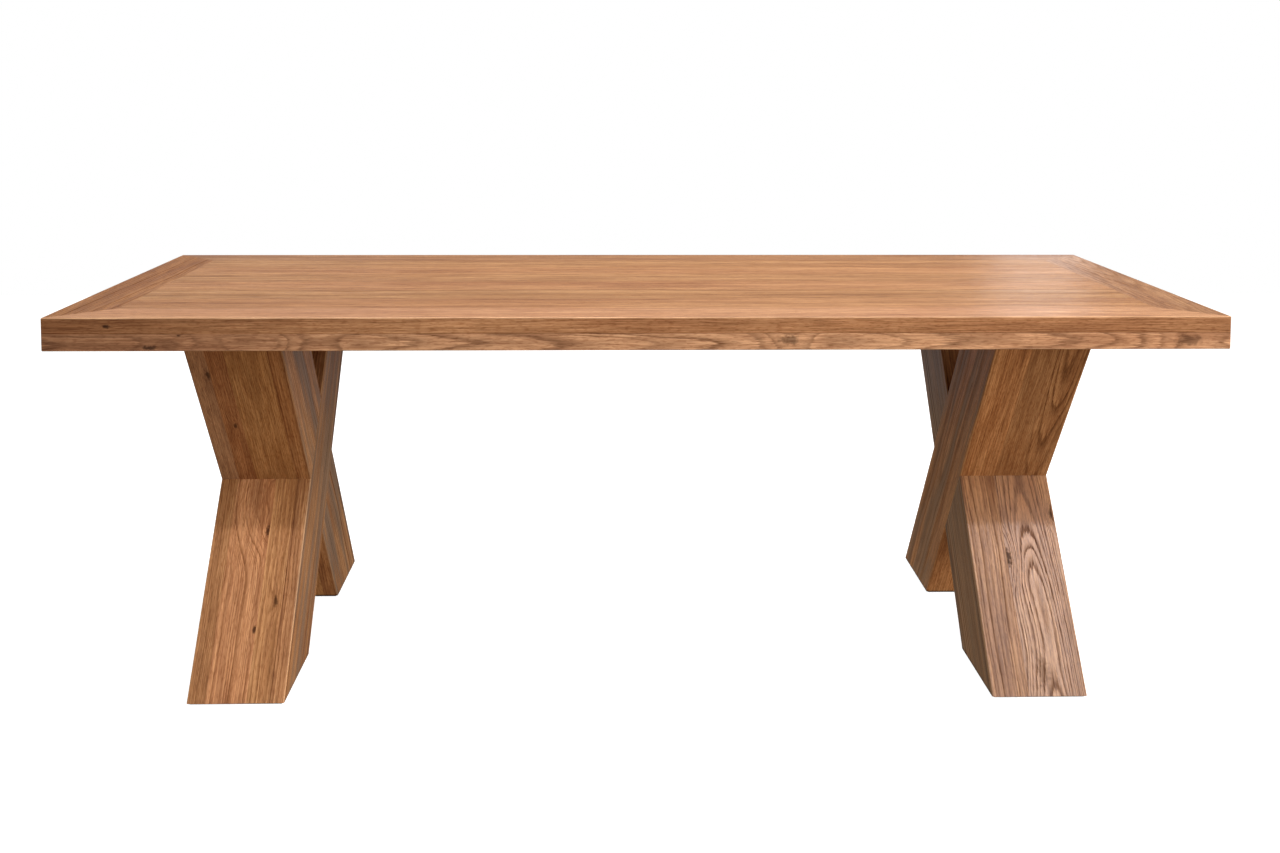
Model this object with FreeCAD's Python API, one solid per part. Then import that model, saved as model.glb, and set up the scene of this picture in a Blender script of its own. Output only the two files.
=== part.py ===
import FreeCAD, Part
import math
import os

# Sawbuck dining table: a framed oak top on two trestles of crossed beams.
# Lengths are in millimetres. The origin lies on the floor under the middle of the top.
# X runs along the table, Y from the front edge to the back edge, and Z points up.

# Overall sizes
top_length = 2200.0
top_width = 900.0
table_height = 753.0

# Boards of the top
board_thickness = 30.0
border_width = 105.0
infill_stave_count = 6
edge_strip_thickness = 32.0
edge_strip_width = 90.0
top_edge_radius = 2.0

# Loose tongues and mitre splines inside the top
tongue_thickness = 8.0
tongue_width = 20.0
tongue_end_margin = 40.0
spline_length = 80.0
spline_width = 24.0
groove_clearance = 0.1

# Bearers over the trestles and the batten between them
bearer_margin = 38.0
bearer_end_gap = 6.0
batten_width = 90.0
batten_housing_depth = 15.0
housing_clearance = 0.1

# Trestle beams. The setbacks run from the long edge of the top to the outer corner of a foot or an arm.
trestle_inset = 235.5
foot_setback = 50.0
arm_setback = 66.0
beam_width = 185.0
beam_depth = 185.0
beam_edge_radius = 3.0

# Stave widths of the beams, counted from the inner and from the outer side face.
# The stave between them takes up the rest, and the halving joint ends in it.
left_front_foot_inner_staves = [28.0, 44.0]
left_front_foot_outer_staves = [35.0]
left_back_foot_inner_staves = [30.0]
left_back_foot_outer_staves = [37.0, 36.0]
right_front_foot_inner_staves = [72.0]
right_front_foot_outer_staves = [44.0]
right_back_foot_inner_staves = [72.0]
right_back_foot_outer_staves = [61.0]

# Tenons on the arms, which stand in mortises through the bearers
tenon_width = 80.0
tenon_length = 110.0
tenon_top_gap = 1.0
tenon_clearance = 0.1

# Felt pads
pad_thickness = 3.0
pad_inset = 5.0

# Bolts, washers and threaded inserts that hold the bearers to the top
bolt_diameter = 8.0
bolt_length = 50.0
bolt_head_height = 5.3
bolt_head_flats = 13.0
bolt_hole_clearance = 0.5
washer_diameter = 18.0
washer_thickness = 1.6
insert_diameter = 12.0
insert_length = 18.0
insert_clearance = 0.05
insert_hole_spare_depth = 1.0

# Places that follow from the sizes above
half_length = top_length / 2
half_width = top_width / 2
board_underside = table_height - board_thickness
edge_underside = board_underside - edge_strip_thickness
infill_length = top_length - 2 * border_width
infill_width = top_width - 2 * border_width
stave_width = infill_width / infill_stave_count
tongue_level = table_height - board_thickness / 2
inner_face_x = half_length - trestle_inset - beam_width
trestle_centre_x = inner_face_x + beam_width / 2

# Lean of the beams: how far a beam moves in Y for each unit of height.
# It follows from the height of the trestle, the spread of feet and arms, and the depth of the beam.
trestle_rise = edge_underside - pad_thickness
outer_reach = top_width - foot_setback - arm_setback
diagonal = math.sqrt(outer_reach ** 2 + trestle_rise ** 2 - beam_depth ** 2)
lean = (outer_reach * trestle_rise - beam_depth * diagonal) / (trestle_rise ** 2 - beam_depth ** 2)
half_beam = beam_depth * math.sqrt(1 + lean ** 2) / 2
foot_offset = half_width - foot_setback - half_beam
arm_offset = half_width - arm_setback - half_beam


def block(x_from, x_to, y_from, y_to, z_from, z_to):
    corner = FreeCAD.Vector(x_from, y_from, z_from)
    return Part.makeBox(x_to - x_from, y_to - y_from, z_to - z_from, corner)


def plan_prism(points, z_from, z_to):
    corners = [FreeCAD.Vector(x, y, z_from) for x, y in points]
    face = Part.Face(Part.makePolygon(corners + corners[:1]))
    return face.extrude(FreeCAD.Vector(0, 0, z_to - z_from))


def side_prism(points, x_from, x_to):
    corners = [FreeCAD.Vector(x_from, y, z) for y, z in points]
    face = Part.Face(Part.makePolygon(corners + corners[:1]))
    return face.extrude(FreeCAD.Vector(x_to - x_from, 0, 0))


def rod(x, y, z_from, z_to, diameter):
    return Part.makeCylinder(diameter / 2, z_to - z_from, FreeCAD.Vector(x, y, z_from))


# Outer form of the whole top, with every outside corner and arris eased

def top_form():
    whole = block(-half_length, half_length, -half_width, half_width, edge_underside, table_height)
    return whole.makeFillet(top_edge_radius, whole.Edges)


# Loose tongues, mitre splines and the grooves they lie in

def tongue(side, extra):
    half = tongue_width / 2 + extra
    z_from = tongue_level - tongue_thickness / 2 - extra
    z_to = tongue_level + tongue_thickness / 2 + extra
    along_x = infill_length / 2 - tongue_end_margin + extra
    along_y = infill_width / 2 - tongue_end_margin + extra
    seam_x = infill_length / 2 if side == "right" else -infill_length / 2
    seam_y = infill_width / 2 if side == "back" else -infill_width / 2
    if side in ("front", "back"):
        return block(-along_x, along_x, seam_y - half, seam_y + half, z_from, z_to)
    return block(seam_x - half, seam_x + half, -along_y, along_y, z_from, z_to)


def mitre_spline(x_sign, y_sign, extra):
    long_half = spline_length / 2 + extra
    short_half = spline_width / 2 + extra
    z_half = tongue_thickness / 2 + extra
    spline = block(-long_half, long_half, -short_half, short_half, -z_half, z_half)
    spline.rotate(FreeCAD.Vector(0, 0, 0), FreeCAD.Vector(0, 0, 1), 45 * x_sign * y_sign)
    centre_x = x_sign * (half_length - border_width / 2)
    centre_y = y_sign * (half_width - border_width / 2)
    spline.translate(FreeCAD.Vector(centre_x, centre_y, tongue_level))
    return spline


def mitre_splines(extra):
    return [mitre_spline(x_sign, y_sign, extra) for x_sign in (-1, 1) for y_sign in (-1, 1)]


# Bolts up through the margins of the bearers, into the second stave from the front and from the back

def bolt_places():
    bolt_x = beam_width / 2 + bearer_margin / 2
    bolt_y = infill_width / 2 - 1.5 * stave_width
    places = []
    for trestle_x in (-trestle_centre_x, trestle_centre_x):
        for x in (trestle_x - bolt_x, trestle_x + bolt_x):
            places.append((x, -bolt_y))
            places.append((x, bolt_y))
    return places


def bolt(x, y):
    seat = edge_underside - washer_thickness
    corner = bolt_head_flats / math.cos(math.radians(30)) / 2
    angles = [math.radians(60 * step) for step in range(6)]
    points = [(x + corner * math.cos(angle), y + corner * math.sin(angle)) for angle in angles]
    head = plan_prism(points, seat - bolt_head_height, seat)
    return head.fuse(rod(x, y, seat, seat + bolt_length, bolt_diameter)).Solids[0]


def bolt_hole(x, y):
    return rod(x, y, edge_underside, board_underside, bolt_diameter + 2 * bolt_hole_clearance)


def washer(x, y):
    seat = edge_underside - washer_thickness
    ring = rod(x, y, seat, edge_underside, washer_diameter)
    return ring.cut(rod(x, y, seat, edge_underside, bolt_diameter + 2 * bolt_hole_clearance))


def threaded_insert(x, y):
    body = rod(x, y, board_underside, board_underside + insert_length, insert_diameter)
    bore = rod(x, y, board_underside, board_underside + insert_length, bolt_diameter + 2 * insert_clearance)
    return body.cut(bore)


def insert_hole(x, y):
    depth = insert_length + insert_hole_spare_depth
    return rod(x, y, board_underside, board_underside + depth, insert_diameter + 2 * insert_clearance)


# Infill staves, mitred border and the doubling strips under it.
# Mitred boards are cut out of the eased form of the whole top.

def infill_stave(index):
    y_from = -infill_width / 2 + index * stave_width
    y_to = y_from + stave_width
    stave = block(-infill_length / 2, infill_length / 2, y_from, y_to, board_underside, table_height)
    for side in ("front", "back", "left", "right"):
        stave = stave.cut(tongue(side, groove_clearance))
    for x, y in bolt_places():
        if y_from < y < y_to:
            stave = stave.cut(insert_hole(x, y))
    return stave.Solids[0]


def mitred_board(side, width, z_from, z_to):
    outer_x = half_length + width
    outer_y = half_width + width
    inner_x = half_length - width
    inner_y = half_width - width
    outlines = {
        "front": [(-outer_x, -outer_y), (outer_x, -outer_y), (inner_x, -inner_y), (-inner_x, -inner_y)],
        "back": [(outer_x, outer_y), (-outer_x, outer_y), (-inner_x, inner_y), (inner_x, inner_y)],
        "left": [(-outer_x, outer_y), (-outer_x, -outer_y), (-inner_x, -inner_y), (-inner_x, inner_y)],
        "right": [(outer_x, -outer_y), (outer_x, outer_y), (inner_x, inner_y), (inner_x, -inner_y)],
    }
    return top_form().common(plan_prism(outlines[side], z_from, z_to))


def border_board(side):
    board = mitred_board(side, border_width, board_underside, table_height + board_thickness)
    board = board.cut(tongue(side, groove_clearance))
    for spline in mitre_splines(groove_clearance):
        board = board.cut(spline)
    return board.Solids[0]


def edge_strip(side):
    strip = mitred_board(side, edge_strip_width, edge_underside - edge_strip_thickness, board_underside)
    return strip.cut(centre_batten(housing_clearance)).Solids[0]


# Centre batten, with its ends let into the long doubling strips

def centre_batten(extra):
    x_half = batten_width / 2 + extra
    y_half = half_width - edge_strip_width + batten_housing_depth + extra
    return block(-x_half, x_half, -y_half, y_half, edge_underside, board_underside)


# Bearers, with a mortise for each arm and four bolt holes

def arm_tenon(trestle_x, y_sign, extra, z_to):
    x_half = tenon_width / 2 + extra
    y_half = tenon_length / 2 + extra
    y = y_sign * arm_offset
    return block(trestle_x - x_half, trestle_x + x_half, y - y_half, y + y_half, edge_underside, z_to)


def bearer(trestle_x):
    x_half = beam_width / 2 + bearer_margin
    y_half = half_width - edge_strip_width - bearer_end_gap
    bar = block(trestle_x - x_half, trestle_x + x_half, -y_half, y_half, edge_underside, board_underside)
    for y_sign in (-1, 1):
        bar = bar.cut(arm_tenon(trestle_x, y_sign, tenon_clearance, board_underside))
    for x, y in bolt_places():
        bar = bar.cut(bolt_hole(x, y))
    return bar.Solids[0]


# Trestles: two laminated beams that cross in a halving joint.
# A positive lean takes the beam from the front foot to the back arm.

def beam_outline(direction):
    foot = -direction * foot_offset
    arm = direction * arm_offset
    return [(foot - half_beam, pad_thickness), (foot + half_beam, pad_thickness),
            (arm + half_beam, edge_underside), (arm - half_beam, edge_underside)]


def plain_beam(side_sign, direction):
    x_from = side_sign * inner_face_x
    return side_prism(beam_outline(direction), x_from, x_from + side_sign * beam_width)


def eased_beam(side_sign, direction):
    plain = plain_beam(side_sign, direction)
    middle = (pad_thickness + edge_underside) / 2
    long_edges = [edge for edge in plain.Edges if abs(edge.CenterOfMass.z - middle) < trestle_rise / 4]
    return plain.makeFillet(beam_edge_radius, long_edges)


def stave_limits(inner_staves, outer_staves):
    from_inside = [0.0]
    for width in inner_staves:
        from_inside.append(from_inside[-1] + width)
    from_outside = [beam_width]
    for width in outer_staves:
        from_outside.append(from_outside[-1] - width)
    return from_inside + from_outside[::-1]


def slab(side_sign, start, end):
    near = side_sign * (inner_face_x + start)
    far = side_sign * (inner_face_x + end)
    return block(min(near, far), max(near, far), -top_width, top_width, 0, table_height)


def trestle_beam(side_sign, direction, runs_through_inside, inner_staves, outer_staves):
    own = eased_beam(side_sign, direction)
    other = eased_beam(side_sign, -direction)
    through = own.fuse(other.common(plain_beam(side_sign, direction)))
    halved = own.cut(plain_beam(side_sign, -direction))
    middle = beam_width / 2
    inner_half = slab(side_sign, 0, middle)
    outer_half = slab(side_sign, middle, beam_width)
    if runs_through_inside:
        beam = through.common(inner_half).fuse(halved.common(outer_half))
    else:
        beam = halved.common(inner_half).fuse(through.common(outer_half))
    tenon = arm_tenon(side_sign * trestle_centre_x, direction, 0, board_underside - tenon_top_gap)
    beam = beam.fuse(tenon).removeSplitter()
    limits = stave_limits(inner_staves, outer_staves)
    staves = [beam.common(slab(side_sign, start, end)) for start, end in zip(limits[:-1], limits[1:])]
    return [sorted(stave.Solids, key=lambda solid: solid.CenterOfMass.z) for stave in staves]


# Felt pads, set in a little from the edges of the feet

def felt_pad(side_sign, y_sign):
    x_half = beam_width / 2 - pad_inset
    y_half = half_beam - pad_inset
    x = side_sign * trestle_centre_x
    y = y_sign * foot_offset
    return block(x - x_half, x + x_half, y - y_half, y + y_half, 0, pad_thickness)


# Every piece under its plain name

nodes = {}
for index in range(infill_stave_count):
    nodes["infill_stave_%d" % (index + 1)] = infill_stave(index)
for side in ("front", "back", "left", "right"):
    nodes[side + "_border"] = border_board(side)
    nodes[side + "_tongue"] = tongue(side, 0)
    nodes[side + "_edge_strip"] = edge_strip(side)
nodes["mitre_splines"] = Part.makeCompound(mitre_splines(0))
nodes["centre_batten"] = centre_batten(0)
nodes["left_bearer"] = bearer(-trestle_centre_x)
nodes["right_bearer"] = bearer(trestle_centre_x)
nodes["bearer_bolts"] = Part.makeCompound([bolt(x, y) for x, y in bolt_places()])
nodes["bolt_washers"] = Part.makeCompound([washer(x, y) for x, y in bolt_places()])
nodes["threaded_inserts"] = Part.makeCompound([threaded_insert(x, y) for x, y in bolt_places()])

beams = {
    "left_front_foot": trestle_beam(-1, 1, True, left_front_foot_inner_staves, left_front_foot_outer_staves),
    "left_back_foot": trestle_beam(-1, -1, False, left_back_foot_inner_staves, left_back_foot_outer_staves),
    "right_front_foot": trestle_beam(1, 1, False, right_front_foot_inner_staves, right_front_foot_outer_staves),
    "right_back_foot": trestle_beam(1, -1, True, right_back_foot_inner_staves, right_back_foot_outer_staves),
}
for name, staves in beams.items():
    for number, solids in enumerate(staves, 1):
        endings = [""] if len(solids) == 1 else ["_lower", "_upper"]
        for solid, ending in zip(solids, endings):
            nodes["%s_beam_stave_%d%s" % (name, number, ending)] = solid

for side, side_sign in (("left", -1), ("right", 1)):
    nodes[side + "_front_felt_pad"] = felt_pad(side_sign, -1)
    nodes[side + "_back_felt_pad"] = felt_pad(side_sign, 1)

os.makedirs("parts", exist_ok=True)
for name, shape in nodes.items():
    shape.exportStep("parts/%s.step" % name)
print(len(nodes), "nodes written, lean of the beams %.2f degrees" % math.degrees(math.atan(lean)))
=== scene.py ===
import functools
import itertools
import math
from collections import namedtuple

import bpy
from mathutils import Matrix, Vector


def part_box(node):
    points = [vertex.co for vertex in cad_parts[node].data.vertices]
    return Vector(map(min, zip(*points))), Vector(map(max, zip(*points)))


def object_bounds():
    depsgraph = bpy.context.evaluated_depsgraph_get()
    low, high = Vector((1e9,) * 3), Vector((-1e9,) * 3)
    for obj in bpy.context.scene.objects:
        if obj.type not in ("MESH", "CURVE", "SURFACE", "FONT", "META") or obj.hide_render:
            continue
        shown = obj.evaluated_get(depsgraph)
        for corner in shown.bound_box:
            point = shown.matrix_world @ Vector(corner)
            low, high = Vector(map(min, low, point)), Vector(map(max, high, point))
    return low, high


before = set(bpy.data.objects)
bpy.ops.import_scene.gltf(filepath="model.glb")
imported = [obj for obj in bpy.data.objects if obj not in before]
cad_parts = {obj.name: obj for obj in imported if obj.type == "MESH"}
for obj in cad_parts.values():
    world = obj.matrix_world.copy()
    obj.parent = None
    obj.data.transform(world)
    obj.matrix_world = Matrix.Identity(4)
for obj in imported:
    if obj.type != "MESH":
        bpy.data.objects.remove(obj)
cad_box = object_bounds()


# Felt pads: thin dark brown pressed felt, one glued under each foot and set in a little from its edges.
# The fibres lie at random, so the surface is a dull mottle with no direction.

def shader_node(tree, kind, inputs=None, **settings):
    """Adds a node, sets it up, and links or sets each of its inputs."""
    made = tree.nodes.new(kind)
    for name, value in settings.items():
        setattr(made, name, value)
    for key, value in (inputs or {}).items():
        if isinstance(value, bpy.types.NodeSocket):
            tree.links.new(value, made.inputs[key])
        else:
            made.inputs[key].default_value = value
    return made


def finish_material(name, roughness=0.5, metallic=0.0, specular=0.5):
    material = bpy.data.materials.new(name)
    material.use_nodes = True
    surface = material.node_tree.nodes["Principled BSDF"]
    surface.inputs["Roughness"].default_value = roughness
    surface.inputs["Metallic"].default_value = metallic
    surface.inputs["Specular IOR Level"].default_value = specular
    return material, material.node_tree, surface


def mottled_finish(name, dark, light, spots_per_metre, detail, **finish):
    """A finish that varies between two colours in small spots. It also returns the pattern of the spots."""
    material, tree, surface = finish_material(name, **finish)
    place = shader_node(tree, "ShaderNodeTexCoord").outputs["Object"]
    pattern = {"Vector": place, "Scale": spots_per_metre, "Detail": detail}
    mottle = shader_node(tree, "ShaderNodeTexNoise", pattern).outputs["Fac"]
    shade = shader_node(tree, "ShaderNodeValToRGB", {"Fac": mottle})
    shade.color_ramp.elements[0].color = dark
    shade.color_ramp.elements[1].color = light
    tree.links.new(shade.outputs["Color"], surface.inputs["Base Color"])
    return material, tree, surface, mottle


def put_on(material, *names):
    for name in names:
        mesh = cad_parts[name].data
        mesh.materials.clear()
        mesh.materials.append(material)


felt_dark = (0.030, 0.022, 0.017, 1)
felt_light = (0.110, 0.085, 0.065, 1)
nap_height = 0.0005

felt, tree, surface, mottle = mottled_finish(
    "pressed felt", felt_dark, felt_light, spots_per_metre=900.0, detail=4.0, roughness=0.95, specular=0.1)
nap = shader_node(tree, "ShaderNodeBump", {"Height": mottle, "Strength": 0.6, "Distance": nap_height})
tree.links.new(nap.outputs["Normal"], surface.inputs["Normal"])
put_on(felt, "left_front_felt_pad", "left_back_felt_pad", "right_front_felt_pad", "right_back_felt_pad")


# Left trestle: two square oak beams that cross, each glued up from staves side by side. The front-foot beam
# leans back from the front foot and runs through on the inner side, where the back-foot beam is halved.
# Both end in tenons that are glued into the bearer above.

def reckon(tree, operation, *terms):
    return shader_node(tree, "ShaderNodeMath", dict(enumerate(terms)), operation=operation).outputs[0]


def reckon_vectors(tree, operation, *terms):
    made = shader_node(tree, "ShaderNodeVectorMath", dict(enumerate(terms)), operation=operation)
    gives_number = operation in ("LENGTH", "DISTANCE", "DOT_PRODUCT")
    return made.outputs["Value" if gives_number else "Vector"]


def ramp(tree, value, low, high, start=0.0, end=1.0, curve="SMOOTHSTEP"):
    """Goes from start to end while the value goes from low to high."""
    inputs = {"Value": value, "From Min": low, "From Max": high, "To Min": start, "To Max": end}
    return shader_node(tree, "ShaderNodeMapRange", inputs, interpolation_type=curve).outputs[0]


def blend(tree, amount, under, over, mode="MIX"):
    """Mixes two colours. A Mix node also has sockets for numbers and vectors, so these go by their place."""
    amount_at, under_at, over_at, result_at = 0, 6, 7, 2
    inputs = {amount_at: amount, under_at: under, over_at: over}
    return shader_node(tree, "ShaderNodeMix", inputs, data_type="RGBA", blend_type=mode).outputs[result_at]


def streaks(tree, log, along, across, detail, rough=0.5, output="Fac"):
    """Noise drawn out along the log: so many spots to the metre along the grain and across it."""
    stretched = reckon_vectors(tree, "MULTIPLY", log, (along, across, across))
    inputs = {"Vector": stretched, "Scale": 1.0, "Detail": detail, "Roughness": rough}
    return shader_node(tree, "ShaderNodeTexNoise", inputs).outputs[output]


def stray(tree, log, along, across, reach):
    """How far the rings wander off sideways along the log."""
    sway = streaks(tree, log, along, across, detail=1.0, output="Color")
    centred = reckon_vectors(tree, "SUBTRACT", sway, (0.5, 0.5, 0.5))
    return reckon_vectors(tree, "MULTIPLY", centred, (0.0, reach, reach))


def early_wood(tree, given, fibres):
    """The porous, dark part of each growth ring. It starts sharply in spring and fades over the summer."""
    log = given["Log"]
    wander = stray(tree, log, along=1.5, across=5.0, reach=0.016)
    wiggle = stray(tree, log, along=5.0, across=16.0, reach=0.005)
    strayed = reckon_vectors(tree, "ADD", reckon_vectors(tree, "ADD", log, wander), wiggle)
    from_pith = reckon_vectors(tree, "MULTIPLY", strayed, (0.0, 1.0, 1.0))
    radius = reckon_vectors(tree, "LENGTH", from_pith)
    growth = reckon(tree, "DIVIDE", reckon(tree, "ADD", radius, given["Bulge"]), given["Ring width"])

    weather = {"W": growth, "Scale": 0.37, "Detail": 1.0}
    years = shader_node(tree, "ShaderNodeTexNoise", weather, noise_dimensions="1D").outputs["Fac"]
    uneven_width = 2.0
    ragged_edge = 0.7
    ragged = reckon(tree, "MULTIPLY", fibres, ragged_edge)
    drift = reckon(tree, "MULTIPLY_ADD", years, uneven_width, ragged)
    season = reckon(tree, "FRACT", reckon(tree, "ADD", growth, drift))

    porous = shader_node(tree, "ShaderNodeValToRGB", {"Fac": season})
    turn_of_year = 0.9
    for element in porous.color_ramp.elements:
        element.color = (turn_of_year, turn_of_year, turn_of_year, 1)
    for time_of_year, level in ((0.10, 1.0), (0.26, 0.45), (0.46, 0.14), (0.70, 0.0), (0.93, 0.06)):
        porous.color_ramp.elements.new(time_of_year).color = (level, level, level, 1)
    strength = ramp(tree, years, low=0.32, high=0.66, start=0.45)
    early = reckon(tree, "MULTIPLY", porous.outputs["Color"], strength)
    early = reckon(tree, "MULTIPLY", early, given["Line"])
    return reckon(tree, "MULTIPLY", early, ramp(tree, fibres, low=0.36, high=0.62, start=1.0, end=0.55))


def open_pores(tree, given, early):
    """Fine dark pores, most of them in the early wood."""
    pores = streaks(tree, given["Log"], along=24.0, across=1100.0, detail=1.0)
    in_late_wood = 0.25
    share = reckon(tree, "MULTIPLY_ADD", early, 1.0 - in_late_wood, in_late_wood)
    return reckon(tree, "MULTIPLY", ramp(tree, pores, low=0.55, high=0.66), share)


def darken(tree, colour, pattern, low, high, depth, shade):
    return blend(tree, ramp(tree, pattern, low, high, end=depth), colour, shade, "MULTIPLY")


def oak_colour(tree, given, fibres, early, pores):
    late_light = (0.500, 0.249, 0.108, 1)
    late_brown = (0.345, 0.162, 0.066, 1)
    early_brown = (0.160, 0.062, 0.020, 1)
    pore_brown = (0.085, 0.032, 0.011, 1)
    early_depth = 0.80
    pore_depth = 0.65
    colour = blend(tree, ramp(tree, fibres, low=0.38, high=0.62), late_light, late_brown)
    colour = blend(tree, reckon(tree, "MULTIPLY", early, early_depth), colour, early_brown)
    colour = blend(tree, reckon(tree, "MULTIPLY", pores, pore_depth), colour, pore_brown)

    band_shade = (0.62, 0.52, 0.44, 1)
    fleck_shade = (0.74, 0.66, 0.58, 1)
    ray_shade = (0.68, 0.58, 0.50, 1)
    cloud_shade = (0.82, 0.72, 0.64, 1)
    log = given["Log"]
    bands = streaks(tree, log, along=2.6, across=38.0, detail=4.0, rough=0.65)
    flecks = streaks(tree, log, along=14.0, across=170.0, detail=2.0)
    rays = streaks(tree, log, along=75.0, across=430.0, detail=1.0)
    clouds = streaks(tree, log, along=1.8, across=11.0, detail=2.0)
    colour = darken(tree, colour, bands, low=0.40, high=0.62, depth=given["Streak"], shade=band_shade)
    colour = darken(tree, colour, flecks, low=0.44, high=0.62, depth=0.60, shade=fleck_shade)
    colour = darken(tree, colour, rays, low=0.50, high=0.64, depth=0.65, shade=ray_shade)
    colour = darken(tree, colour, clouds, low=0.42, high=0.62, depth=0.60, shade=cloud_shade)

    cool_shade_grey = (0.105, 0.080, 0.066, 1)
    knot_brown = (0.034, 0.012, 0.005, 1)
    glue_and_face_shade = (0.42, 0.34, 0.28, 1)
    worn_light = (0.560, 0.330, 0.175, 1)
    # Painted cool shade: the sides of the beams are greyed in streaks that follow the grain, standing in for
    # the cooler light that falls on them.
    grey_streaks = streaks(tree, log, along=2.2, across=30.0, detail=4.0, rough=0.6)
    colour = blend(tree, ramp(tree, grey_streaks, low=0.43, high=0.61, end=given["Side shade grey"]), colour, cool_shade_grey)
    colour = blend(tree, given["Knot"], colour, knot_brown)
    # The glue line is a real dark joint; the outer faces also get painted shade here, which darkens them
    # against the tops.
    colour = blend(tree, given["Seam"], colour, glue_and_face_shade, "MULTIPLY")
    # Painted highlight: the arrises are lightened to stand in for light caught on their rounded edges, a
    # little unevenly along the fibres.
    painted_glint = ramp(tree, fibres, low=0.30, high=0.60, start=0.90, end=0.35)
    colour = blend(tree, reckon(tree, "MULTIPLY", given["Arris highlight"], painted_glint), colour, worn_light)

    tint = {"Color": colour, "Value": given["Tone"], "Hue": given["Hue"], "Saturation": given["Saturation"]}
    return shader_node(tree, "ShaderNodeHueSaturation", tint).outputs["Color"]


def oak_figure():
    """Oiled oak in any log. The growth rings run round the pith, which lies along the log's first axis."""
    tree = bpy.data.node_groups.new("Oak figure", "ShaderNodeTree")
    tree.interface.new_socket(name="Log", in_out="INPUT", socket_type="NodeSocketVector")
    for name in ("Ring width", "Bulge", "Knot", "Line", "Streak", "Side shade grey", "Arris highlight", "Seam",
                 "Tone", "Hue", "Saturation"):
        tree.interface.new_socket(name=name, in_out="INPUT", socket_type="NodeSocketFloat")
    for name, kind in (("Colour", "Color"), ("Roughness", "Float"), ("Relief", "Float")):
        tree.interface.new_socket(name=name, in_out="OUTPUT", socket_type="NodeSocket" + kind)
    given = tree.nodes.new("NodeGroupInput").outputs
    result = tree.nodes.new("NodeGroupOutput").inputs

    fibres = streaks(tree, given["Log"], along=8.0, across=420.0, detail=3.0, rough=0.6)
    early = early_wood(tree, given, fibres)
    pores = open_pores(tree, given, early)
    tree.links.new(oak_colour(tree, given, fibres, early, pores), result["Colour"])

    roughness = 0.28
    for mark, roughened in ((pores, 0.16), (early, 0.30), (given["Knot"], 0.50), (fibres, 0.12)):
        roughness = reckon(tree, "MULTIPLY_ADD", mark, roughened, roughness)
    tree.links.new(roughness, result["Roughness"])
    early_sunk = 0.35
    sunk = reckon(tree, "MULTIPLY_ADD", early, early_sunk, pores)
    tree.links.new(reckon(tree, "MULTIPLY", sunk, -1.0), result["Relief"])
    return tree


oak = oak_figure()
log_number = itertools.count(1)
log_spacing = 2.7

Knot = namedtuple("Knot", "at size swell dark")
Faces = namedtuple("Faces", "centre across half")
DarkEnd = namedtuple("DarkEnd", "at reach depth")


def off_faces(tree, place, faces):
    """How far a place is from the nearer of two parallel faces that lie on either side of a centre."""
    offset = reckon_vectors(tree, "SUBTRACT", place, faces.centre)
    out = reckon(tree, "ABSOLUTE", reckon_vectors(tree, "DOT_PRODUCT", offset, faces.across))
    return reckon(tree, "ABSOLUTE", reckon(tree, "SUBTRACT", out, faces.half))


def grow_knots(tree, place, log, figure, knots, in_log):
    """The rings swell round each knot, and the ragged heart of the knot is dark."""
    knot_slimness = 0.42
    swell_reach = 3.6
    raggedness = 1.2
    spots = shader_node(tree, "ShaderNodeTexNoise", {"Vector": place, "Scale": 150.0, "Detail": 1.0})
    ragged = reckon(tree, "MULTIPLY_ADD", spots.outputs["Fac"], raggedness, -raggedness / 2)
    swells = []
    hearts = []
    for knot in knots:
        offset = reckon_vectors(tree, "SUBTRACT", log, in_log(knot.at))
        shape = (knot_slimness / knot.size, 1.0 / knot.size, 1.0 / knot.size)
        away = reckon_vectors(tree, "LENGTH", reckon_vectors(tree, "MULTIPLY", offset, shape))
        swells.append(ramp(tree, away, 0.0, swell_reach, start=knot.swell, end=0.0, curve="SMOOTHERSTEP"))
        edge = reckon(tree, "ADD", away, ragged)
        hearts.append(ramp(tree, edge, low=0.25, high=0.95, start=knot.dark, end=0.0))
    bulge = functools.reduce(functools.partial(reckon, tree, "ADD"), swells)
    heart = functools.reduce(functools.partial(reckon, tree, "MAXIMUM"), hearts)
    tree.links.new(bulge, figure.inputs["Bulge"])
    tree.links.new(heart, figure.inputs["Knot"])


def darken_seam_and_face(tree, place, figure, off_sides, seam, painted_face_shade, dark_ends):
    """A dark line along the glued seam, and painted shade that darkens the outer face against the top. The
    outer face also grows darker towards the dark ends.
    """
    outside = ramp(tree, off_sides, low=0.0001, high=0.0008, start=1.0, end=0.0)
    glued = ramp(tree, off_faces(tree, place, seam), low=0.0002, high=0.0014, start=0.75, end=0.0)
    # Painted shade on the outer face, darker towards the dark ends.
    face_darkening = painted_face_shade
    for end in dark_ends:
        away = reckon_vectors(tree, "DISTANCE", place, end.at)
        face_darkening = reckon(tree, "ADD", ramp(tree, away, 0.0, end.reach, start=end.depth, end=0.0), face_darkening)
    dark = reckon(tree, "MAXIMUM", glued, reckon(tree, "MULTIPLY", outside, face_darkening))
    tree.links.new(dark, figure.inputs["Seam"])


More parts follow.
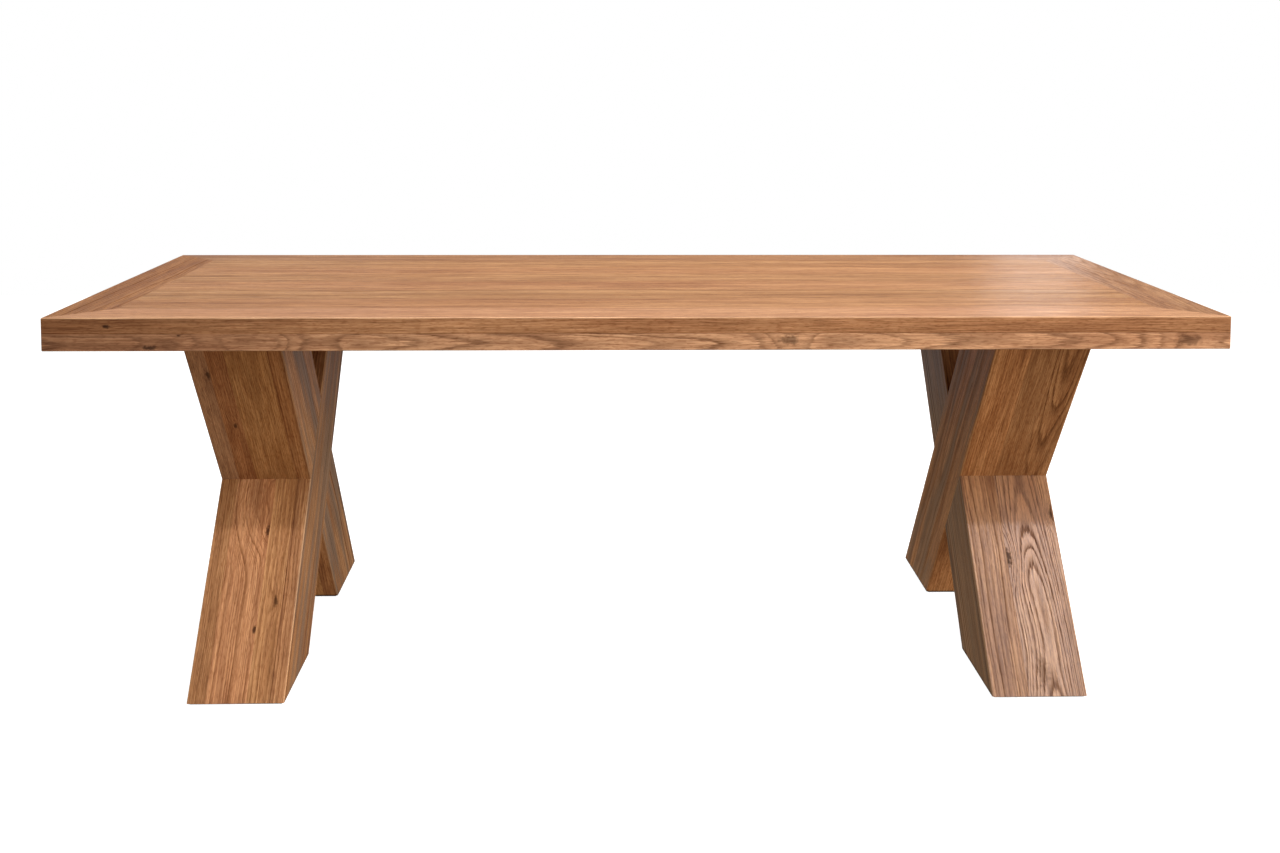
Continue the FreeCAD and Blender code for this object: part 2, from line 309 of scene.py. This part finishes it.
def oak_board(names, grain, pith, ring=0.0036, tone=1.0, hue=0.5, colourful=1.0, line=1.0, streak=0.5,
              knots=(), sides=None, tops=None, side_shade_grey=0.0, worn=1.0, seam=None, painted_face_shade=0.0, dark_ends=(),
              specular=0.12):
    """Cuts the named pieces from a log of their own.

    Where the pith lies and how the grain runs against the board decide whether a face shows straight lines
    or arches. Line and streak say how strongly the rings and the dark bands show. The side grey says how far
    the sides are greyed as painted cool shade, and the arris highlight how bright the painted highlight
    along the arrises is, where the sides meet the tops.
    """
    material, tree, surface = finish_material(names[0].replace("_", " ") + " oak", specular=specular)
    place = shader_node(tree, "ShaderNodeTexCoord").outputs["Object"]
    turn = Vector(grain).normalized().rotation_difference(Vector((1, 0, 0)))
    start = Vector((log_spacing * next(log_number), 0, 0))

    def in_log(point):
        return start + turn @ (Vector(point) - Vector(pith))

    turned = {"Vector": place, "Rotation": turn.to_euler(), "Location": in_log((0, 0, 0))}
    log = shader_node(tree, "ShaderNodeMapping", turned).outputs["Vector"]
    board = {"Log": log, "Ring width": ring, "Line": line, "Streak": streak, "Tone": tone, "Hue": hue,
             "Saturation": colourful}
    figure = shader_node(tree, "ShaderNodeGroup", board, node_tree=oak)
    if knots:
        grow_knots(tree, place, log, figure, knots, in_log)
    if sides:
        off_sides = off_faces(tree, place, sides)
        off_arris = reckon(tree, "MAXIMUM", off_sides, off_faces(tree, place, tops))
        # Painted highlight along the arrises, where the sides meet the tops.
        painted_glint = ramp(tree, off_arris, low=0.0008, high=0.0035, start=worn, end=0.0)
        # Painted cool shade that greys the sides of the board.
        greyed_sides = ramp(tree, off_sides, low=0.0005, high=0.0040, start=side_shade_grey, end=0.0)
        tree.links.new(painted_glint, figure.inputs["Arris highlight"])
        tree.links.new(greyed_sides, figure.inputs["Side shade grey"])
    if seam:
        darken_seam_and_face(tree, place, figure, off_sides, seam, painted_face_shade, dark_ends)
    tree.links.new(figure.outputs["Colour"], surface.inputs["Base Color"])
    tree.links.new(figure.outputs["Roughness"], surface.inputs["Roughness"])
    pore_depth = 0.0004
    grooves = {"Height": figure.outputs["Relief"], "Strength": 0.35, "Distance": pore_depth}
    tree.links.new(shader_node(tree, "ShaderNodeBump", grooves).outputs["Normal"], surface.inputs["Normal"])
    put_on(material, *names)


inner_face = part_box("left_front_foot_beam_stave_1")[1].x
outer_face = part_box("left_front_foot_beam_stave_4_lower")[0].x
half_beam = (inner_face - outer_face) / 2
left_trestle_x = (inner_face + outer_face) / 2
beam_lean = math.radians(38.52)
crossing_height = 0.3571
along_the_table = (1.0, 0.0, 0.0)
leans_back = 1
leans_forward = -1


def up_the_beam(direction, tilt=0.0):
    return (0.0, direction * math.sin(beam_lean + tilt), math.cos(beam_lean + tilt))


# The last number sets how bright the painted highlight along the beam's arrises is.
def beam_faces(trestle_x, direction, worn):
    crossing = (trestle_x, 0.0, crossing_height)
    through = (0.0, -direction * math.cos(beam_lean), math.sin(beam_lean))
    sides = Faces(crossing, along_the_table, half_beam)
    return dict(sides=sides, tops=Faces(crossing, through, half_beam), worn=worn)


left_front_foot = dict(grain=up_the_beam(leans_back),
                       **beam_faces(left_trestle_x, leans_back, worn=1.0))
left_back_foot = dict(grain=up_the_beam(leans_forward),
                      **beam_faces(left_trestle_x, leans_forward, worn=0.5))

oak_board(["left_front_foot_beam_stave_1"],
          pith=(-0.60, -0.10, 0.10), ring=0.0050, tone=1.17, line=1.4, streak=0.9, side_shade_grey=0.56,
          **left_front_foot)
oak_board(["left_front_foot_beam_stave_2"],
          pith=(-0.62, -0.15, 0.14), ring=0.0066, tone=1.32, hue=0.503,
          knots=[Knot((-0.720, -0.278, 0.156), size=0.006, swell=0.008, dark=0.8)],
          **left_front_foot)
oak_board(["left_front_foot_beam_stave_3"],
          pith=(-0.86, -0.10, 0.22), ring=0.0034, tone=1.36, hue=0.497, line=1.1,
          knots=[Knot((-0.788, -0.140, 0.330), size=0.024, swell=0.034, dark=0.15),
                 Knot((-0.754, -0.187, 0.271), size=0.006, swell=0.007, dark=0.9),
                 Knot((-0.755, -0.312, 0.113), size=0.005, swell=0.006, dark=0.9)],
          **left_front_foot)
oak_board(["left_front_foot_beam_stave_4_lower", "left_front_foot_beam_stave_4_upper"],
          pith=(-0.98, -0.05, 0.30), ring=0.0030, tone=1.14, hue=0.502, **left_front_foot)

oak_board(["left_back_foot_beam_stave_1_lower", "left_back_foot_beam_stave_1_upper"],
          pith=(-0.58, 0.05, 0.40), ring=0.0050, tone=1.24, line=1.4, streak=0.9, side_shade_grey=0.64,
          **left_back_foot)
oak_board(["left_back_foot_beam_stave_2"],
          pith=(-0.95, -0.20, 0.42), ring=0.0024, tone=1.29, hue=0.504, **left_back_foot)
oak_board(["left_back_foot_beam_stave_3"],
          pith=(-0.74, -0.10, 0.30), ring=0.0034, tone=1.22, hue=0.497,
          knots=[Knot((-0.805, -0.230, 0.497), size=0.006, swell=0.008, dark=0.8)],
          **left_back_foot)
oak_board(["left_back_foot_beam_stave_4"],
          pith=(-1.02, -0.10, 0.30), ring=0.0030, tone=1.20, colourful=0.9,
          knots=[Knot((-0.830, -0.327, 0.619), size=0.010, swell=0.012, dark=0.75)],
          **left_back_foot)


# Right trestle: the left one turned half round and of the same laminated oak. So its back-foot beam runs
# through on the inner side, where the front-foot beam is halved. The staves in the front foot were sawn
# nearly flat, so that beam shows arches and knots.

right_trestle_x = -left_trestle_x
right_front_foot = beam_faces(right_trestle_x, leans_back, worn=0.7)
right_back_foot = beam_faces(right_trestle_x, leans_forward, worn=0.35)

oak_board(["right_front_foot_beam_stave_1_lower", "right_front_foot_beam_stave_1_upper"],
          grain=up_the_beam(leans_back), pith=(0.60, 0.05, 0.30), ring=0.0046, tone=0.84,
          line=1.4, streak=0.9, side_shade_grey=0.27, specular=0.55, **right_front_foot)
oak_board(["right_front_foot_beam_stave_2", "right_front_foot_beam_stave_3"],
          grain=up_the_beam(leans_back, tilt=0.030), pith=(0.800, -0.178, 0.178), ring=0.0026, tone=0.90,
          line=2.0, specular=1.0,
          knots=[Knot((0.7535, -0.229, 0.218), size=0.011, swell=0.010, dark=0.85),
                 Knot((0.858, -0.171, 0.291), size=0.006, swell=0.008, dark=0.8),
                 Knot((0.787, -0.372, 0.038), size=0.018, swell=0.005, dark=0.4),
                 Knot((0.7955, -0.160, 0.306), size=0.018, swell=0.003, dark=0.0),
                 Knot((0.7725, -0.315, 0.110), size=0.016, swell=0.004, dark=0.0)],
          **right_front_foot)

oak_board(["right_back_foot_beam_stave_1"],
          grain=up_the_beam(leans_forward), pith=(0.50, -0.10, 0.50), ring=0.0050, tone=1.44,
          line=0.7, streak=0.6, side_shade_grey=0.52, **right_back_foot)
oak_board(["right_back_foot_beam_stave_2"],
          grain=up_the_beam(leans_forward), pith=(0.95, -0.15, 0.40), ring=0.0026, tone=1.07,
          line=0.6, **right_back_foot)
oak_board(["right_back_foot_beam_stave_3_lower", "right_back_foot_beam_stave_3_upper"],
          grain=up_the_beam(leans_forward, tilt=0.035), pith=(0.830, -0.19, 0.53), ring=0.0042, tone=1.10,
          line=1.4, **right_back_foot)


# Bearers and batten: planed oak bars across the underside of the top. The arms of the trestles are
# tenoned into the bearers, and the batten is let into the long edge strips.

across_the_table = (0.0, 1.0, 0.0)

oak_board(["left_bearer"], grain=across_the_table, pith=(-0.70, 0.0, 0.60), tone=0.96)
oak_board(["right_bearer"], grain=across_the_table, pith=(0.85, 0.0, 0.55), tone=0.92)
oak_board(["centre_batten"], grain=across_the_table, pith=(0.15, 0.0, 0.60), tone=0.98)


# Bolts, washers and threaded inserts: zinc plated hex bolts go up through the bearers, each with a washer,
# into brass inserts that are screwed into the staves of the top.

def metal(name, colour, roughness, *names):
    dulled = 0.72
    dull_colour = (*[dulled * part for part in colour], 1)
    material, *_ = mottled_finish(name, dull_colour, (*colour, 1), spots_per_metre=260.0, detail=3.0,
                                  roughness=roughness, metallic=1.0)
    put_on(material, *names)


metal("zinc plate", (0.62, 0.62, 0.60), 0.38, "bearer_bolts", "bolt_washers")
metal("turned brass", (0.71, 0.52, 0.22), 0.30, "threaded_inserts")


# Edge strips: oak glued under the border to double its thickness, mitred at the corners.
# The front strip was sawn flat, so its edge shows arches and small knots.

half_length, half_width, top_height = cad_box[1]
strip_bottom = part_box("front_edge_strip")[0].z
glue_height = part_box("front_edge_strip")[1].z
upward = (0.0, 0.0, 1.0)
glue_line = Faces((0.0, 0.0, glue_height), upward, 0.0)


def edge_faces(outward, half, arris_height, worn=0.35):
    """The outer faces on both sides of the table, with their arris at that height and the glue line."""
    middle = (0.0, 0.0, arris_height)
    sides = Faces(middle, outward, half)
    return dict(sides=sides, tops=Faces(middle, upward, 0.0), worn=worn, seam=glue_line)


long_edge = functools.partial(edge_faces, across_the_table, half_width)
short_edge = functools.partial(edge_faces, along_the_table, half_length)


def in_front(x, z):
    return (x, -half_width, z)


oak_board(["front_edge_strip"],
          grain=(1.0, 0.020, 0.003), pith=(0.0, -0.390, 0.705), ring=0.0030, tone=1.28, colourful=0.90,
          line=1.3, streak=0.4,
          dark_ends=[DarkEnd(in_front(-half_length, 0.70), reach=0.80, depth=0.64)],
          knots=[Knot(in_front(0.271, 0.711), size=0.012, swell=0.006, dark=0.62),
                 Knot(in_front(-0.803, 0.700), size=0.010, swell=0.005, dark=0.0),
                 Knot(in_front(-0.903, 0.698), size=0.007, swell=0.003, dark=0.8),
                 Knot(in_front(-0.60, 0.705), size=0.012, swell=0.005, dark=0.0),
                 Knot(in_front(-0.850, 0.720), size=0.003, swell=0.002, dark=0.85),
                 Knot(in_front(1.022, 0.709), size=0.015, swell=0.005, dark=0.50)],
          **long_edge(strip_bottom))
oak_board(["back_edge_strip"],
          grain=(1.0, 0.0, -0.010), pith=(0.0, 0.38, 0.70), tone=1.02, **long_edge(strip_bottom))
oak_board(["left_edge_strip"],
          grain=(0.0, 1.0, 0.01), pith=(-1.02, 0.0, 0.69), tone=0.98, **short_edge(strip_bottom))
oak_board(["right_edge_strip"],
          grain=(0.0, 1.0, -0.01), pith=(1.03, 0.0, 0.70), tone=1.02, **short_edge(strip_bottom))


# Loose tongues and mitre splines: plain beech strips, glued into grooves inside the top and out of sight.
# The tongues join the border to the infill, and the splines hold the mitres of the border closed.

beech_dark = (0.48, 0.29, 0.16, 1)
beech_light = (0.62, 0.42, 0.26, 1)

beech, *_ = mottled_finish(
    "bare beech", beech_dark, beech_light, spots_per_metre=180.0, detail=3.0, roughness=0.6)
put_on(beech, "front_tongue", "back_tongue", "left_tongue", "right_tongue", "mitre_splines")


# Infill staves: straight-grained oak, edge glued into one panel and sanded flush. Each stave is from a log
# of its own, so they differ a little in tone and hue.

infill_logs = [
    dict(pith=(0.0, -0.62, 0.50), tone=1.12, hue=0.502),
    dict(pith=(0.0, -0.05, 0.47), tone=1.05, hue=0.505),
    dict(pith=(0.0, -0.35, 0.52), tone=1.12, hue=0.501),
    dict(pith=(0.0, 0.30, 0.48), tone=1.07, hue=0.504),
    dict(pith=(0.0, -0.02, 0.55), tone=1.12, hue=0.502),
    dict(pith=(0.0, 0.55, 0.47), tone=1.06, hue=0.504),
]
for number, infill_log in enumerate(infill_logs, 1):
    oak_board(["infill_stave_%d" % number],
              grain=(1.0, 0.004, 0.0), ring=0.0042, line=1.4, streak=0.6, **infill_log)


# Border: oak boards round the infill, mitred at the corners. The end boards run across the table,
# so their grain meets that of the infill at a right angle.

# The front border's outer face gets painted shade against its top and grows darker towards both ends, and
# its arris gets a bright painted highlight.
oak_board(["front_border"],
          grain=(1.0, 0.0, 0.003), pith=(0.0, -0.25, 0.55), ring=0.0026, tone=1.30, colourful=0.95,
          streak=0.45, painted_face_shade=0.26,
          dark_ends=[DarkEnd(in_front(-half_length, 0.73), reach=0.80, depth=0.62),
                     DarkEnd(in_front(half_length, 0.73), reach=0.80, depth=0.28)],
          knots=[Knot(in_front(-0.982, 0.737), size=0.005, swell=0.003, dark=0.9)],
          **long_edge(top_height, worn=0.9))
oak_board(["back_border"],
          grain=along_the_table, pith=(0.0, 0.20, 0.55), ring=0.0030, tone=0.86, streak=0.6,
          **long_edge(top_height))
oak_board(["left_border"],
          grain=(0.02, 1.0, 0.0), pith=(-0.95, 0.0, 0.60), tone=0.76, hue=0.497, colourful=1.12,
          **short_edge(top_height))
oak_board(["right_border"],
          grain=(0.03, 1.0, 0.02), pith=(1.06, 0.0, 0.68), ring=0.0042, tone=0.83, line=0.6,
          **short_edge(top_height))


# Studio: a plain pale floor, with soft lamps above, in front, at the sides and behind. Only the camera sees
# the floor and the plain white surround, which cast no light on the oak, so two more lamps that lie on the
# floor give the light that a floor throws back.

floor_length = 24.0
floor_depth = 11.6
floor_middle_y = -1.2
under_the_pads = -0.0005

bpy.ops.object.select_all(action="DESELECT")
bpy.ops.mesh.primitive_plane_add(size=1.0, location=(0, floor_middle_y, under_the_pads))
floor = bpy.context.object
floor.name = "studio_floor"
floor.scale = (floor_length, floor_depth, 1.0)
bpy.ops.object.transform_apply(location=True, rotation=False, scale=True)
pale, tree, surface = finish_material("pale floor", roughness=0.9, specular=0.1)
surface.inputs["Base Color"].default_value = (0.50, 0.50, 0.50, 1)
surface.inputs["Emission Color"].default_value = (1.0, 1.0, 1.0, 1)
surface.inputs["Emission Strength"].default_value = 0.92
floor.data.materials.append(pale)
floor.visible_diffuse = False
floor.visible_glossy = False

world = bpy.data.worlds.new("white surround")
world.use_nodes = True
world.node_tree.nodes["Background"].inputs["Color"].default_value = (1.0, 1.0, 1.0, 1)
world.node_tree.nodes["Background"].inputs["Strength"].default_value = 1.0
world.cycles_visibility.diffuse = False
world.cycles_visibility.glossy = False
bpy.context.scene.world = world


def softbox(name, place, target, size, watts, colour=(1.0, 1.0, 1.0), mirrored=True):
    lamp = bpy.data.lights.new(name, "AREA")
    lamp.shape = "RECTANGLE"
    lamp.size, lamp.size_y = size
    lamp.energy = watts
    lamp.color = colour
    box = bpy.data.objects.new(name, lamp)
    box.visible_camera = False
    box.visible_glossy = mirrored
    box.location = place
    box.rotation_euler = (Vector(target) - Vector(place)).to_track_quat("-Z", "Y").to_euler()
    bpy.context.scene.collection.objects.link(box)


def glow(name, y, size, watts, colour=(1.0, 1.0, 1.0)):
    """A lamp that lies on the floor and shines up. Its small slant settles which way its sides run."""
    above_the_floor = 0.002
    slant = 0.001
    softbox(name, (0.0, y, above_the_floor), (0.0, y + slant, 1.0), size, watts, colour)


warm_light = (1.0, 0.76, 0.49)

softbox("overhead softbox", (0.3, 0.9, 3.1), target=(0.3, 0.4, 0.0), size=(2.8, 1.5), watts=100.0)
softbox("high front softbox", (0.0, -5.5, 6.0), target=(0.0, 0.0, 0.4), size=(12.0, 4.0), watts=367.0)
softbox("key strip", (0.6, -2.30, 3.6), target=(0.6, -0.15, 0.3), size=(4.4, 0.12), watts=52.0)
softbox("right softbox", (4.2, -2.2, 1.6), target=(0.0, 0.0, 0.4), size=(3.0, 3.0), watts=280.0,
        mirrored=False)
softbox("left softbox", (-6.0, 1.0, 2.5), target=(0.0, 0.0, 0.4), size=(6.0, 4.0), watts=116.0)
softbox("back softbox", (0.0, 5.0, 2.2), target=(0.0, 0.0, 0.6), size=(9.0, 4.0), watts=42.5)
softbox("back left softbox", (-1.8, 3.5, 1.3), target=(-0.8, 0.0, 0.75), size=(1.6, 0.9), watts=0.8)
softbox("back strip", (1.95, 3.5, 1.35), target=(0.85, 0.0, 0.75), size=(0.40, 0.9), watts=2.6)
glow("back floor glow", y=3.5, size=(8.0, 3.0), watts=20.0)
glow("floor glow", y=-1.0, size=(8.0, 6.0), watts=56.6, colour=warm_light)

camera_down = 0.0717
camera_roll = -0.0032
camera_turn = -0.0276
camera_data = bpy.data.cameras.new("camera")
camera_data.sensor_width = 36.0
camera_data.lens = 40.54
camera_data.shift_y = -0.1977
camera = bpy.data.objects.new("camera", camera_data)
camera.location = (-0.0792, -3.0834, 1.2082)
camera.rotation_euler = (math.pi / 2 - camera_down, camera_roll, camera_turn)
bpy.context.scene.collection.objects.link(camera)
bpy.context.scene.camera = camera
bpy.context.scene.view_settings.view_transform = "Standard"
